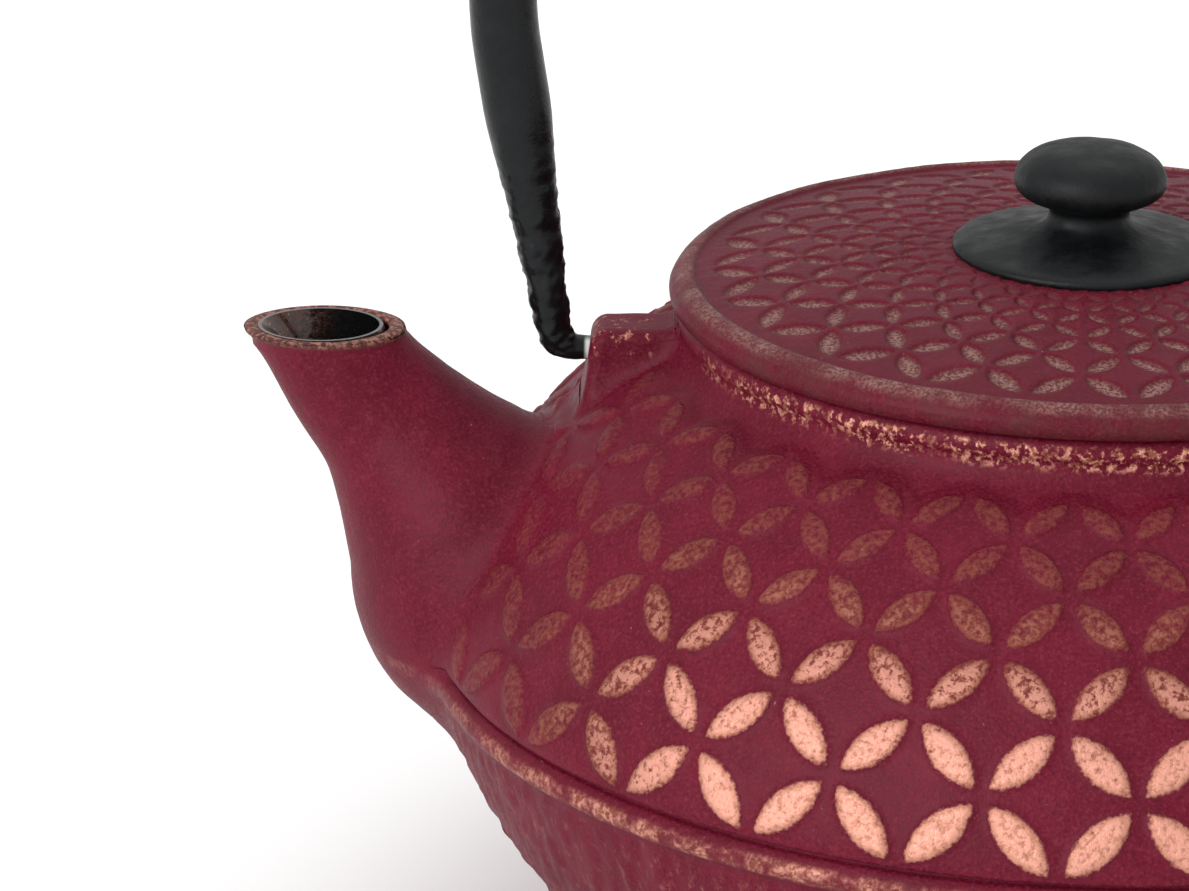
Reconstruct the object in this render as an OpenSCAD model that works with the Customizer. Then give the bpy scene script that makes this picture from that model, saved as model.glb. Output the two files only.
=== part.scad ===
// Cast iron teapot with a lift-off lid, a strainer basket and a swinging bail handle.
// Origin: centre of the flat base. +Z up, the spout points along -X.

/* [Pot body] */
// Largest radius, at the outside of the waist ridge
ridge_r = 80; // [60:0.5:100]
// Height of the ridge's outside edge above the table
ridge_z = 40; // [30:0.5:50]
// Radius of the flat base
base_r = 46; // [36:0.5:56]
// Outside radius of the neck below the lid
neck_r = 48.8; // [44:0.1:56]
// Height of the top of the neck
neck_z = 83.4; // [80:0.1:90]
// Bore of the neck that the basket hangs in
neck_bore_r = 43.5; // [40:0.1:45]
// Thickness of the enamel on the inside
enamel_t = 0.4; // [0.2:0.1:0.8]

/* [Spout] */
// Height at which the spout is cut level
mouth_z = 80; // [74:0.5:84]
// Sideways position of the mouth's centre
mouth_x = -92.1; // [-100:0.1:-86]
// Outside radius of the spout tube at the mouth
mouth_r = 8.4; // [6:0.1:10]
// Radius of the channel at the mouth
channel_r = 6.5; // [4:0.1:7]

/* [Ears] */
// Outer face of an ear, from the pot's axis
ear_x = 59.6; // [56:0.1:62]
// Width of an ear across the handle's swing
ear_w = 9; // [8:0.5:14]
// Height of the top of an ear
ear_z = 80.8; // [80:0.1:84]
// Height of the handle's pivot line
pivot_z = 77.4; // [75:0.1:79]
// Radius of the hole in each ear
ear_hole_r = 1.48; // [1.45:0.01:1.6]

/* [Handle] */
// Radius of the handle's tube
tube_r = 4.08; // [3:0.02:5]
// Radius of the hook at each end
hook_r = 1.4; // [1.3:0.01:1.45]
// Half distance between the arms where the arch begins
arm_x = 69.9; // [66:0.1:74]
// Height where the arch begins
arm_z = 115; // [105:0.5:125]
// Radius of the arch's corners
corner_r = 42; // [34:0.5:50]
// Angle at which the corners meet the flatter top
corner_a = 38; // [30:1:45]

/* [Lid] */
// Outside radius of the lid
lid_r = 50.3; // [48:0.1:54]
// Underside of the lid's rim
lid_z = 83.6; // [83.5:0.05:84]
// Top of the raised rim
lid_rim_z = 88; // [86:0.1:90]
// Outside radius of the skirt under the lid
skirt_r = 41.6; // [39:0.1:42]
// Lower end of the skirt
skirt_z = 78.6; // [76:0.1:81]

/* [Knob] */
// Radius of the knob's seat plate
knob_r = 16.3; // [12:0.1:20]
// Radius of the knob's round button
button_r = 9.2; // [7:0.1:12]
// Radius of the knob's neck under the button
knob_neck_r = 4.8; // [4:0.1:7]
// Height of the knob above the lid's middle
knob_h = 12.6; // [8:0.1:18]
// Radius of the screw that holds the knob
screw_r = 2; // [1.5:0.1:3]

/* [Basket] */
// Outside radius of the basket's band
band_r = 42.8; // [40:0.1:43]
// Underside of the basket
basket_z = 20; // [14:0.5:40]
// Radius of one strainer hole in the wall
wall_hole_r = 1.6; // [0.8:0.1:2.5]

/* [Hidden] */
$fn = 96;
curve_steps = 9;
lap = 0.3;
thinner = 0.03;

iron_red = [0.42, 0.10, 0.16];
black = [0.06, 0.06, 0.06];
steel = [0.75, 0.75, 0.76];

rebate_z = neck_z - 1.2;
rebate_r = 46.4;
lid_mid_z = lid_rim_z + 3;
lean_a = atan2(arm_x - 64.26, arm_z - 79.9);
corner_x = arm_x - corner_r * cos(lean_a);
corner_z = arm_z + corner_r * sin(lean_a);
top_gap = corner_x / sin(corner_a);
top_r = corner_r + top_gap;
top_z = corner_z - top_gap * cos(corner_a);

// Outside stations of the spout: [x, z, radius], mouth first
SPOUT = [[mouth_x - 4.2, mouth_z + 6, mouth_r], [mouth_x, mouth_z, mouth_r],
         [-88.1, 73, 8.7], [-82.9, 66.6, 9.9], [-78, 59.7, 12.6],
         [-73, 52.5, 16.3], [-69.8, 46, 18.1]];

// Stations of the channel inside the spout: [x, z, radius], mouth first
CHANNEL = [[mouth_x - 4.2, mouth_z + 6, channel_r], [mouth_x, mouth_z, channel_r],
           [-88.1, 73, 6.1], [-82.9, 66.6, 6.6], [-76, 59, 8.2], [-62, 50, 9.5]];

// One point of a cubic curve with the end points a and d
function curve_at(a, b, c, d, t) =
    pow(1 - t, 3) * a + 3 * pow(1 - t, 2) * t * b + 3 * (1 - t) * t * t * c + pow(t, 3) * d;

// The curve as a list of points, both ends included
function curve(a, b, c, d) =
    [for (i = [0:curve_steps]) curve_at(a, b, c, d, i / curve_steps)];

// The points of a curve after its first, to carry on from another curve
function rest(points) = [for (i = [1:len(points) - 1]) points[i]];

// A round tube through a list of stations, with its radius changed by grow
module station_tube(stations, grow) {
    for (i = [0:len(stations) - 2]) {
        a = stations[i];
        b = stations[i + 1];
        run = norm([b[0] - a[0], b[1] - a[1]]);
        tilt = atan2(b[0] - a[0], b[1] - a[1]);
        translate([a[0], 0, a[1]])
            rotate([0, tilt, 0])
                cylinder(h = run, r1 = a[2] + grow, r2 = b[2] + grow);
        translate([b[0], 0, b[1]])
            sphere(r = b[2] + grow);
    }
}

// The solid outside of the turned body, base to neck
module body_outside() {
    bowl = curve([base_r, 1.5], [63, 6], [74.3, 20], [ridge_r - 1, ridge_z - 1.4]);
    dome = curve([ridge_r - 1.3, ridge_z + 2.9], [79, 46], [69, 67.5], [52.2, 76.2]);
    rotate_extrude()
        polygon(concat([[0, 0], [base_r - 0.8, 0]], bowl,
                       [[ridge_r - 0.2, ridge_z - 0.8], [ridge_r, ridge_z - 0.2],
                        [ridge_r, ridge_z + 0.9], [ridge_r - 0.4, ridge_z + 1.8],
                        [ridge_r - 1.1, ridge_z + 2.1], [ridge_r - 1.5, ridge_z + 2.4]],
                       dome,
                       [[50.2, 77.5], [49.2, 78.8], [neck_r, 80.4],
                        [neck_r, neck_z - 0.3], [neck_r - 0.3, neck_z], [0, neck_z]]));
}

// The hollow of the body up to the top of the neck, made smaller by skin
module body_hollow(skin) {
    bowl = curve([43.5, 6.6 + skin], [59.5 - skin, 9.4 + skin],
                 [70.5 - skin, 21.5], [75.6 - skin, 40]);
    dome = curve([75.6 - skin, 40.5], [75.6 - skin, 45.5], [66 - skin, 63.6 - skin],
                 [49.5, 72.4 - skin]);
    rotate_extrude()
        polygon(concat([[0, 6 + skin]], bowl, dome,
                       [[45, 74.2 - skin], [neck_bore_r - skin, 77 - skin],
                        [neck_bore_r - skin, neck_z + 1], [0, neck_z + 1]]));
}

// One ear on the +X side, without its hole
module ear() {
    translate([0, ear_w / 2, 0])
        rotate([90, 0, 0])
            linear_extrude(height = ear_w)
                polygon([[47, 70], [62.6, 66], [ear_x + 1.2, 72.5], [ear_x, 78.5],
                         [ear_x - 0.2, ear_z - 1.3], [ear_x - 0.8, ear_z - 0.5], [ear_x - 2, ear_z],
                         [52, ear_z], [47, ear_z]]);
}

// The iron casting: body, spout and both ears in one piece
module pot_body() {
    color(iron_red)
    difference() {
        union() {
            body_outside();
            difference() {
                station_tube(SPOUT, 0);
                translate([mouth_x - 20, -15, mouth_z])
                    cube([34, 30, 30]);
            }
            ear();
            mirror([1, 0, 0])
                ear();
        }
        body_hollow(0);
        station_tube(CHANNEL, 0);
        translate([0, 0, rebate_z])
            cylinder(h = 10, r = rebate_r);
        for (side = [-1, 1])
            translate([side * 53.6, 0, pivot_z])
                rotate([0, side * 90, 0])
                    cylinder(h = 12, r = ear_hole_r, $fn = 48);
    }
}

// The fused glass skin on the inside of the pot and its spout
module enamel_lining() {
    color(black)
    difference() {
        union() {
            body_hollow(0);
            station_tube(CHANNEL, 0);
        }
        body_hollow(enamel_t);
        station_tube(CHANNEL, -enamel_t);
        translate([0, 0, rebate_z])
            cylinder(h = 10, r = rebate_r);
        translate([mouth_x - 20, -15, mouth_z])
            cube([34, 30, 30]);
    }
}

// One turn of tube in the handle's plane about [x, z], from one angle to another
module tube_arc(x, z, bend_r, from_a, to_a, r) {
    translate([x, 0, z])
        rotate([90, 0, 0])
            rotate([0, 0, from_a])
                rotate_extrude(angle = to_a - from_a)
                    translate([bend_r, 0])
                        circle(r = r);
}

// A straight run of the arm on the +X side between two heights on its centre line
module arm_run(z1, z2, r1, r2) {
    x1 = 64.26 + (z1 - 79.9) * tan(lean_a);
    translate([x1, 0, z1])
        rotate([0, lean_a, 0])
            cylinder(h = (z2 - z1) / cos(lean_a), r1 = r1, r2 = r2);
}

// Half of the handle without its flatter top, on the +X side. Each stretch runs on
// into the next one by lap, a little thinner, so that the stretches join.
module handle_half() {
    translate([54.6, 0, pivot_z])
        rotate([0, 90, 0])
            cylinder(h = 61.3 + lap - 54.6, r = hook_r - thinner, $fn = 48);
    tube_arc(61.3, pivot_z + 3, 3, -90, -lean_a, hook_r);
    arm_run(79.9 - lap, 81.4 + lap, hook_r + thinner, 2 + thinner);
    arm_run(81.4, 93 + lap, 2, 2.85 - thinner);
    arm_run(93, 106, 2.85, tube_r);
    arm_run(106 - lap, arm_z + lap, tube_r - thinner, tube_r - thinner);
    tube_arc(corner_x, corner_z, corner_r, -lean_a, 90 - corner_a, tube_r);
}

// The swinging bail handle: one tube from hook to hook
module handle() {
    color(black) {
        handle_half();
        mirror([1, 0, 0])
            handle_half();
        tube_arc(0, top_z, top_r, 90 - corner_a - lap, 90 + corner_a + lap,
                 tube_r - thinner);
    }
}

// The cast lid with its raised rim and its locating skirt
module lid() {
    color(iron_red)
    difference() {
        rotate_extrude()
            polygon([[0, lid_z + 1.4], [skirt_r - 3, lid_z + 1.4], [skirt_r - 2.8, skirt_z],
                     [skirt_r - 0.5, skirt_z], [skirt_r, skirt_z + 0.6], [skirt_r, lid_z],
                     [lid_r - 0.6, lid_z], [lid_r - 0.1, lid_z + 0.5], [lid_r, lid_z + 1.2],
                     [lid_r, lid_z + 2.8], [lid_r - 0.3, lid_z + 3.5],
                     [lid_r - 1, lid_z + 4.1], [lid_r - 1.9, lid_rim_z],
                     [lid_r - 2.6, lid_rim_z - 0.1], [lid_r - 3.1, lid_rim_z - 0.7],
                     [40, lid_mid_z - 2.6], [30, lid_mid_z - 1.5], [20, lid_mid_z - 0.7],
                     [10, lid_mid_z - 0.2], [0, lid_mid_z]]);
        translate([0, 0, lid_z - 5])
            cylinder(h = 20, r = screw_r + 0.3, $fn = 48);
    }
}

// The cast knob, bored from below for its screw
module knob() {
    cap_z = lid_mid_z + knob_h;
    flare = curve([knob_r - 0.4, lid_mid_z + 1.3], [knob_neck_r + 3, lid_mid_z + 1.9],
                  [knob_neck_r, lid_mid_z + 2.6], [knob_neck_r, lid_mid_z + 4.6]);
    under = curve([knob_neck_r, lid_mid_z + 4.6], [knob_neck_r, lid_mid_z + 5.8],
                  [button_r, lid_mid_z + 5.6], [button_r, lid_mid_z + 8.2]);
    crown = curve([button_r, lid_mid_z + 8.2], [button_r, cap_z - 1.6],
                  [button_r * 0.6, cap_z], [0, cap_z]);
    color(black)
    difference() {
        rotate_extrude()
            polygon(concat([[0, lid_mid_z], [knob_r - 0.5, lid_mid_z],
                            [knob_r, lid_mid_z + 0.4], [knob_r, lid_mid_z + 0.9]],
                           flare, rest(under), rest(crown)));
        translate([0, 0, lid_mid_z - 1])
            cylinder(h = 8, r = screw_r, $fn = 48);
    }
}

// The screw that holds the knob, with its head under the lid
module knob_screw() {
    head_z = lid_z + 1.4 - 0.8;
    color(steel)
    difference() {
        union() {
            translate([0, 0, head_z])
                cylinder(h = lid_mid_z + 6.5 - head_z, r = screw_r, $fn = 48);
            translate([0, 0, head_z - 2.4])
                cylinder(h = 2.4, r = 3.6, $fn = 48);
        }
        translate([-5, -0.5, head_z - 3])
            cube([10, 1, 1.8]);
    }
}

// The washer between the screw's head and the lid
module knob_washer() {
    color(steel)
    translate([0, 0, lid_z + 1.4 - 0.8])
        difference() {
            cylinder(h = 0.8, r = 6);
            translate([0, 0, -1])
                cylinder(h = 3, r = screw_r, $fn = 48);
        }
}

// The basket's pressed rim: a flange that hangs in the neck and a band below it
module basket_rim() {
    color(steel)
    rotate_extrude()
        polygon([[band_r - 0.6, 70], [band_r, 70], [band_r, rebate_z + 0.1],
                 [rebate_r - 0.3, rebate_z + 0.1], [rebate_r - 0.3, rebate_z + 1],
                 [band_r - 0.6, rebate_z + 1]]);
}

// The basket's strainer wall, rolled from punched sheet
module basket_wall() {
    wall_r = band_r - 0.6;
    floor_z = basket_z + 1.2;
    color(steel)
    difference() {
        translate([0, 0, floor_z])
            cylinder(h = 73 - floor_z, r = wall_r);
        translate([0, 0, floor_z - 1])
            cylinder(h = 80, r = wall_r - 0.4);
        for (row = [0:4], step = [0:19])
            rotate([0, 0, 18 * step + 9 * (row % 2)])
                translate([wall_r - 2, 0, 30.5 + 8.5 * row])
                    rotate([0, 90, 0])
                        cylinder(h = 4, r = wall_hole_r, $fn = 24);
    }
}

// The crimped ring that closes the lower edge of the basket
module basket_ring() {
    color(steel)
    rotate_extrude()
        polygon([[36, basket_z], [band_r, basket_z], [band_r, basket_z + 5],
                 [band_r - 0.6, basket_z + 5], [band_r - 0.6, basket_z + 0.6],
                 [36, basket_z + 0.6]]);
}

// The punched floor of the basket, held by the ring
module basket_floor() {
    color(steel)
    translate([0, 0, basket_z + 0.65])
        difference() {
            cylinder(h = 0.5, r = band_r - 0.7);
            for (ring = [1:5], step = [0:6 * ring - 1])
                rotate([0, 0, 60 * step / ring])
                    translate([6 * ring, 0, -1])
                        cylinder(h = 3, r = 1.5, $fn = 24);
        }
}

pot_body();
enamel_lining();
handle();
lid();
knob();
knob_screw();
knob_washer();
basket_rim();
basket_wall();
basket_ring();
basket_floor();
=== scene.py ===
import math

import bpy
import numpy as np
from mathutils import Matrix, Vector


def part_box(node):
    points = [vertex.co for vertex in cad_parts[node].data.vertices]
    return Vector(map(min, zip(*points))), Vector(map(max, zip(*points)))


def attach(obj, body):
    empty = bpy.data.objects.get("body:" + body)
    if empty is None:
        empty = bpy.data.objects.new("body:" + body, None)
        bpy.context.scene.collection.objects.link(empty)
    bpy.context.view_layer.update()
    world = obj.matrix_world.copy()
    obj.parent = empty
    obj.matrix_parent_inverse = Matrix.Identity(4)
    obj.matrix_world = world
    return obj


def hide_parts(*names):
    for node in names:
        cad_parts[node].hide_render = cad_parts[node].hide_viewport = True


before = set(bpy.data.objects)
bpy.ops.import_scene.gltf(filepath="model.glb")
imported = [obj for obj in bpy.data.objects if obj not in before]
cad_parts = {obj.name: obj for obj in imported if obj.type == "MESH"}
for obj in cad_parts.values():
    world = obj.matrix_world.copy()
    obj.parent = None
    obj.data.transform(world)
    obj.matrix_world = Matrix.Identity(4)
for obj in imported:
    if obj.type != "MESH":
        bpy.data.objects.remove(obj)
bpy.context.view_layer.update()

# Every length below is in millimetres until a mesh is made. The origin is the centre
# of the base on the pot's axis, +Z is up and the spout points along -X.
MM = 0.001

# ---------------------------------------------------------------- places from the frame
def mm_box(node):
    """A node's lowest and highest corner at rest, in millimetres."""
    low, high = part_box(node)
    return [c / MM for c in low], [c / MM for c in high]


POT_LOW, POT_HIGH = mm_box("pot_body")
LID_LOW, LID_HIGH = mm_box("lid")
HANDLE_LOW, HANDLE_HIGH = mm_box("handle")
KNOB_LOW, KNOB_HIGH = mm_box("knob")
BASKET_HIGH = mm_box("basket_rim")[1]

RIDGE_R = POT_HIGH[0]            # outside of the waist ridge
RIDGE_Z = RIDGE_R / 2            # height of the ridge's outside edge
NECK_TOP = POT_HIGH[2]           # top of the neck
NECK_R = 48.8                    # outside of the neck
NECK_BORE_R = 43.5
REBATE_Z = NECK_TOP - 1.2        # ledge that the basket hangs on
REBATE_R = BASKET_HIGH[0] + 0.3
BASE_R = 46.0
MOUTH_Z = 80.0                   # level cut of the spout
MOUTH_X = -92.05
LID_R = LID_HIGH[0]
LID_Z = 83.6                     # underside of the lid's rim
SKIRT_R = 41.6
SKIRT_Z = LID_LOW[2]
LID_RIM_Z = LID_Z + 3.8          # top of the lid's raised rim
LID_EDGE_Z = LID_RIM_Z - 0.5     # the domed field where it meets the rim
LID_MID_Z = LID_HIGH[2]          # the domed field at its middle
KNOB_R = KNOB_HIGH[0]
BUTTON_R = 9.2
PIVOT_Z = 77.4
TUBE_R = 4.08
HOOK_R = 1.4
EAR_TOP = 80.7
EAR_ROOT = 60.0                  # the ear ends here, deep inside the body
EAR_FACE = (59.5, 80.0)          # a point on the ear's outer face, which leans outward
EAR_HALF_WIDTH = 4.5
EAR_CORNER_R = 1.9               # rounding of the ear's top edge
EAR_EDGE_R = 1.5                 # rounding of its side edges
SHOULDER = (52.2, 76.2)          # where the dome turns up into the neck
SHOULDER_TOP = 80.4
BEAD_LOW = 82.9                  # the neck's bead ends here
SPOUT_BLEND = 3.6                # reach of the fillet round the spout's root
EAR_BLEND = 2.6
CUT_SHARE = 0.6                  # of a blend: how deep inside it a sheet is left out
NOT_PETAL = -9.0                 # the petal mark of a point away from the relief
KNOB_NECK_R = 4.8

# Relief of linked circles on the dome and the lid: cells round each, and their turn
DOME_CELLS = 28
DOME_TURN = -0.444
DOME_START_Z = 50.9              # height of the lowest whole row of corners
DOME_ROWS = (-1, 5)              # rows of corners between which there are petals
LID_CELLS = 23
LID_TURN = 0.03
LID_START_R = 45.5
PETAL_LENGTH = 0.82              # of the distance between two corners
PETAL_WIDTH = 0.345
PETAL_RAISE = 0.45
FIELD_RAISE = 0.48


# ---------------------------------------------------------------- small maths
def smooth(low, high, value):
    """0 below low, 1 above high, and a smooth ramp between."""
    t = np.clip((value - low) / (high - low), 0, 1)
    return t * t * (3 - 2 * t)


def bezier(a, b, c, d, steps):
    """Points along a cubic curve from a to d, both ends included."""
    t = np.linspace(0, 1, steps + 1)[:, None]
    a, b, c, d = (np.array(p, float) for p in (a, b, c, d))
    return (1 - t) ** 3 * a + 3 * (1 - t) ** 2 * t * b + 3 * (1 - t) * t * t * c + t ** 3 * d


def line(points, spacing):
    """A polyline resampled so that its points are about spacing apart."""
    points = np.array(points, float)
    rows = [points[:1]]
    for start, end in zip(points[:-1], points[1:]):
        steps = max(1, round(float(np.linalg.norm(end - start)) / spacing))
        t = np.linspace(0, 1, steps + 1)[1:, None]
        rows.append(start + (end - start) * t)
    return np.concatenate(rows)


def chain(*pieces):
    """Joins polylines whose ends meet, leaving out the doubled points."""
    rows = [pieces[0]]
    for piece in pieces[1:]:
        rows.append(piece[1:])
    return np.concatenate(rows)


def value_noise(points, size, seed):
    """Smooth random values between -1 and 1 that vary over about size millimetres."""
    table = np.random.default_rng(seed).uniform(-1, 1, (32, 32, 32))
    scaled = points / size
    cell = np.floor(scaled).astype(int)
    part = scaled - cell
    part = part * part * (3 - 2 * part)
    total = np.zeros(len(points))
    for corner in range(8):
        offset = np.array([corner & 1, corner >> 1 & 1, corner >> 2 & 1])
        weight = np.prod(np.where(offset, part, 1 - part), axis=1)
        index = (cell + offset) % 32
        total += weight * table[index[:, 0], index[:, 1], index[:, 2]]
    return total


# ---------------------------------------------------------------- meshes
def grid_faces(rows, columns, closed=True):
    """Quads between rows of points; a closed row's last point joins its first."""
    row = np.arange(rows - 1)[:, None] * columns
    column = np.arange(columns if closed else columns - 1)[None, :]
    after = (column + 1) % columns
    corners = [row + column, row + after, row + columns + after, row + columns + column]
    return np.stack(corners, -1).reshape(-1, 4).tolist()


def make_piece(name, vertices, faces, material, body):
    """A shown mesh that rides on a CAD body."""
    mesh = bpy.data.meshes.new(name)
    mesh.from_pydata((np.asarray(vertices) * MM).tolist(), [], faces)
    mesh.update()
    mesh.polygons.foreach_set("use_smooth", [True] * len(mesh.polygons))
    piece = bpy.data.objects.new(name, mesh)
    bpy.context.scene.collection.objects.link(piece)
    mesh.materials.append(material)
    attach(piece, body)
    return piece


def store(piece, name, values):
    """Keeps one number per point on a piece, for its material to read."""
    layer = piece.data.attributes.new(name, "FLOAT", "POINT")
    layer.data.foreach_set("value", np.asarray(values, np.float32))


def turned(outline, columns):
    """Points of an outline of (radius, height) turned about the pot's axis."""
    angle = np.arange(columns) * 2 * math.pi / columns
    r, z = outline[:, :1], outline[:, 1:]
    x = r * np.sin(angle)
    y = -r * np.cos(angle)
    return np.stack([x, y, np.broadcast_to(z, x.shape)], -1).reshape(-1, 3)


def outline_normals(outline, columns):
    """Outward normals of the turned outline, one for each point."""
    along = np.gradient(outline, axis=0)
    along /= np.linalg.norm(along, axis=1)[:, None] + 1e-9
    angle = np.arange(columns) * 2 * math.pi / columns
    out, up = along[:, 1:], -along[:, :1]
    x = out * np.sin(angle)
    y = -out * np.cos(angle)
    return np.stack([x, y, np.broadcast_to(up, x.shape)], -1).reshape(-1, 3)


# ---------------------------------------------------------------- the relief of linked circles
def lattice(angle, climb, cells, turn):
    """Lattice coordinates: whole, even-summed pairs are the corners where petals meet."""
    half = math.pi / cells
    return (angle - turn) / half, climb / half


def petal_edge(across, up, unit, low_row, high_row):
    """Distance inside the nearest petal's edge in mm, negative outside every petal.

    unit is the distance in mm between two neighbouring corners."""
    p, q = (across + up) / 2, (across - up) / 2
    radius = (PETAL_LENGTH ** 2 + PETAL_WIDTH ** 2) / (4 * PETAL_WIDTH)
    best = np.full(np.shape(across), NOT_PETAL)
    for along, side, sign in ((p, q, 1), (q, p, -1)):
        middle = np.floor(along) + 0.5
        row = sign * (middle - np.round(side))
        u = np.abs(along - middle)
        v = np.abs(side - np.round(side))
        inside = (radius - np.sqrt(u ** 2 + (v + radius - PETAL_WIDTH / 2) ** 2)) * unit
        keep = (row > low_row) & (row < high_row)
        best = np.where(keep, np.maximum(best, inside), best)
    return best


def field_edge(across, up, unit, top_row):
    """Distance inside the scalloped edge of the relief, in mm."""
    reach = 1.18
    centre = 2 * np.round((across - (top_row + 1)) / 2) + top_row + 1
    ring = reach - np.hypot(across - centre, up - top_row)
    return np.maximum(top_row - up, ring) * unit / math.sqrt(2)


# ---------------------------------------------------------------- the pot's outside
def pot_outline():
    """The turned outline of the casting, from the base's middle to the basket ledge."""
    base = line([(0, 0), (BASE_R - 1.6, 0)], 6)
    foot = bezier((BASE_R - 1.6, 0), (BASE_R - 0.6, 0), (BASE_R, 0.6), (BASE_R, 1.5), 5)
    bowl = bezier((BASE_R, 1.5), (63, 6), (74.3, 20), (RIDGE_R - 1, RIDGE_Z - 1.4), 58)
    ridge = line([(RIDGE_R - 1, RIDGE_Z - 1.4), (RIDGE_R - 0.45, RIDGE_Z - 1.0),
                  (RIDGE_R - 0.1, RIDGE_Z - 0.4), (RIDGE_R, RIDGE_Z + 0.1),
                  (RIDGE_R - 0.08, RIDGE_Z + 0.6), (RIDGE_R - 0.35, RIDGE_Z + 1.15),
                  (RIDGE_R - 0.75, RIDGE_Z + 1.6), (RIDGE_R - 1.05, RIDGE_Z + 2.0),
                  (RIDGE_R - 1.4, RIDGE_Z + 2.15), (RIDGE_R - 1.75, RIDGE_Z + 2.2),
                  (RIDGE_R - 1.8, RIDGE_Z + 2.5), (RIDGE_R - 1.3, RIDGE_Z + 3.1)], 0.4)
    dome = bezier((RIDGE_R - 1.3, RIDGE_Z + 3.1), (79, 46), (69, 67.5), SHOULDER, 82)
    shoulder = bezier(SHOULDER, (50.2, 77.3), (NECK_R, 78.6), (NECK_R, SHOULDER_TOP), 9)
    collar = bezier((NECK_R, SHOULDER_TOP), (NECK_R + 0.7, 81.1), (NECK_R + 0.7, 82.2),
                    (NECK_R, BEAD_LOW), 7)
    top = line([(NECK_R, BEAD_LOW), (NECK_R - 0.5, NECK_TOP), (REBATE_R, NECK_TOP),
                (REBATE_R, REBATE_Z), (NECK_BORE_R + 0.05, REBATE_Z),
                (NECK_BORE_R + 0.05, REBATE_Z - 1)], 0.6)
    return chain(base, foot, bowl, ridge, dome, shoulder, collar, top)


# Stations along the spout: x, z, radius in the pot's middle plane, half width across
SPOUT_STATIONS = np.array([
    (MOUTH_X - 2.9, MOUTH_Z + 4, 8.25, 7.5), (MOUTH_X, MOUTH_Z, 8.35, 7.6),
    (-88.1, 73, 8.55, 8.2), (-82.9, 66.6, 9.85, 9.7), (-78, 59.7, 12.6, 13.2),
    (-73, 52.5, 16.25, 17.2), (-69.8, 46, 18.1, 19.2), (-66, 41.5, 14.0, 15.5)])


def spout_path(samples):
    """The stations joined by a smooth curve through all of them."""
    known = SPOUT_STATIONS
    ends = np.concatenate([known[:1] * 2 - known[1:2], known, known[-1:] * 2 - known[-2:-1]])
    t = np.linspace(0, len(known) - 1, samples)
    i = np.minimum(t.astype(int), len(known) - 2)
    f = (t - i)[:, None]
    a, b, c, d = (ends[i + k] for k in range(4))
    return 0.5 * (2 * b + (c - a) * f + (2 * a - 5 * b + 4 * c - d) * f ** 2
                  + (3 * b - a - 3 * c + d) * f ** 3)


SPOUT_PATH = spout_path(70)


def spout_distance(points):
    """Distance from the spout's solid, negative inside."""
    best = np.full(len(points), 1e9)
    for x, z, r, w in SPOUT_PATH:
        squeeze = r / w
        gap = np.sqrt((points[:, 0] - x) ** 2 + (points[:, 1] * squeeze) ** 2
                      + (points[:, 2] - z) ** 2) - r
        best = np.minimum(best, gap)
    return best


def ear_distance(points):
    """Distance from the nearer ear's solid, negative inside."""
    x, y, z = np.abs(points[:, 0]), np.abs(points[:, 1]), points[:, 2]
    lean = math.atan2(2.2, 15)
    outer = (x - EAR_FACE[0]) * math.cos(lean) + (z - EAR_FACE[1]) * math.sin(lean)
    flare = 0.25 * np.clip(76 - z, 0, 12)
    top = z - EAR_TOP + EAR_CORNER_R
    outer = outer + EAR_CORNER_R
    profile = np.hypot(np.maximum(outer, 0), np.maximum(top, 0)) + np.minimum(
        np.maximum(outer, top), 0) - EAR_CORNER_R
    side = y - EAR_HALF_WIDTH - flare + EAR_EDGE_R
    profile = profile + EAR_EDGE_R
    block = np.hypot(np.maximum(profile, 0), np.maximum(side, 0)) + np.minimum(
        np.maximum(profile, side), 0) - EAR_EDGE_R
    return np.maximum(block, EAR_ROOT - z)


POT_OUTLINE = pot_outline()
SKIN = POT_OUTLINE[(POT_OUTLINE[:, 0] > 20) & (POT_OUTLINE[:, 1] < 81)][::2]


def body_distance(points):
    """Distance from the turned body's outside, negative inside."""
    r = np.hypot(points[:, 0], points[:, 1])
    z = points[:, 2]
    start, end = SKIN[:-1], SKIN[1:]
    step = end - start
    length = (step ** 2).sum(1)
    dr = r[:, None] - start[:, 0]
    dz = z[:, None] - start[:, 1]
    t = np.clip((dr * step[:, 0] + dz * step[:, 1]) / length, 0, 1)
    gap_r, gap_z = dr - t * step[:, 0], dz - t * step[:, 1]
    gap = np.hypot(gap_r, gap_z)
    nearest = gap.argmin(1)
    pick = np.arange(len(points))
    side = gap_r[pick, nearest] * step[nearest, 1] - gap_z[pick, nearest] * step[nearest, 0]
    return gap[pick, nearest] * np.where(side > 0, 1, -1)


def blend_min(a, b, reach):
    """The smaller of two distances, rounded where they are close."""
    h = np.clip(reach - np.abs(a - b), 0, None) / reach
    return np.minimum(a, b) - h * h * reach / 4


def casting_distance(points):
    """Distance from body, spout and ears blended as one casting."""
    body = body_distance(points)
    joined = blend_min(body, spout_distance(points), SPOUT_BLEND)
    return blend_min(joined, ear_distance(points), EAR_BLEND)


def distance_slope(points):
    """Direction in which the casting's distance grows."""
    step = 0.05
    slope = np.empty_like(points)
    for axis in range(3):
        move = np.zeros(3)
        move[axis] = step
        slope[:, axis] = casting_distance(points + move) - casting_distance(points - move)
    return slope / (np.linalg.norm(slope, axis=1)[:, None] + 1e-9)


def settle(points, rounds=5):
    """Moves points onto the blended casting's surface, and gives its normals there."""
    for _ in range(rounds):
        slope = distance_slope(points)
        points = points - slope * casting_distance(points)[:, None]
    return points, distance_slope(points)


def drop_faces(faces, gone):
    """The faces that have no point marked as gone."""
    faces = np.asarray(faces)
    return faces[~gone[faces].any(1)].tolist()


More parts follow.
